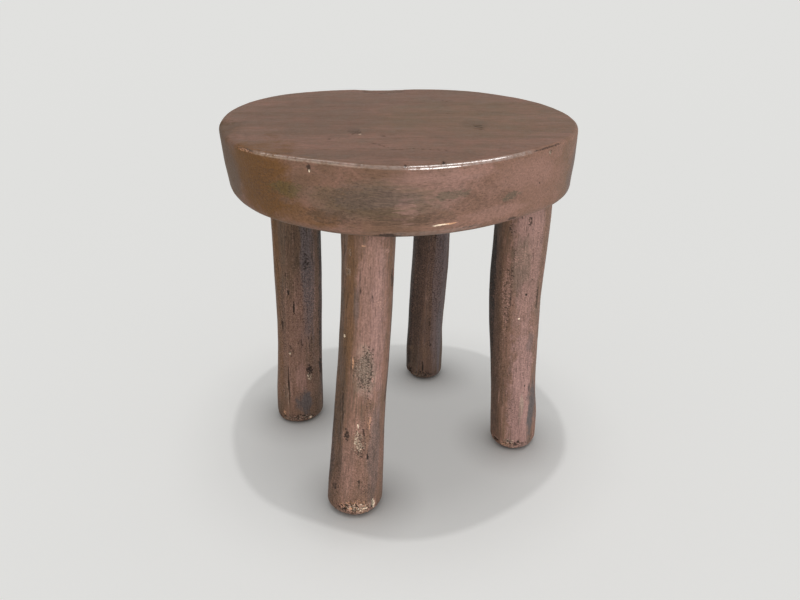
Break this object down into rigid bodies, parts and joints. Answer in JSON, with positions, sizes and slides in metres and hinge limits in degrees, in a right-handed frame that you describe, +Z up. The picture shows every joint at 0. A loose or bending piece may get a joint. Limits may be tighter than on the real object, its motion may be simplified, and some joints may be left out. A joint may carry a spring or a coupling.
{
  "type": "stool",
  "caption": "Low round stool: a thick hand-hewn wooden seat slab on bent pole legs, set in blind tenons locked by hidden wedges.",
  "frame": {"origin": "on the floor, under the middle of the seat", "axes": "+Z up; the front leg stands towards -Y and the right leg towards +X; the seat's grain runs along X"},
  "size_m": [0.3314, 0.3205, 0.352],
  "materials": {
    "seat_wood": "old hewn hardwood, reddish brown, worn to a satin sheen with a dull top",
    "leg_wood": "old peeled pole wood, reddish brown, satin, worn pale at the feet",
    "wedge_wood": "plain split hardwood, bare"
  },
  "bodies": {
    "root": {"seat": "seat_wood", "front_leg": "leg_wood", "front_wedge": "wedge_wood", "right_leg": "leg_wood", "right_wedge": "wedge_wood", "back_leg": "leg_wood", "back_wedge": "wedge_wood", "left_leg": "leg_wood", "left_wedge": "wedge_wood"}
  },
  "joints": []
}
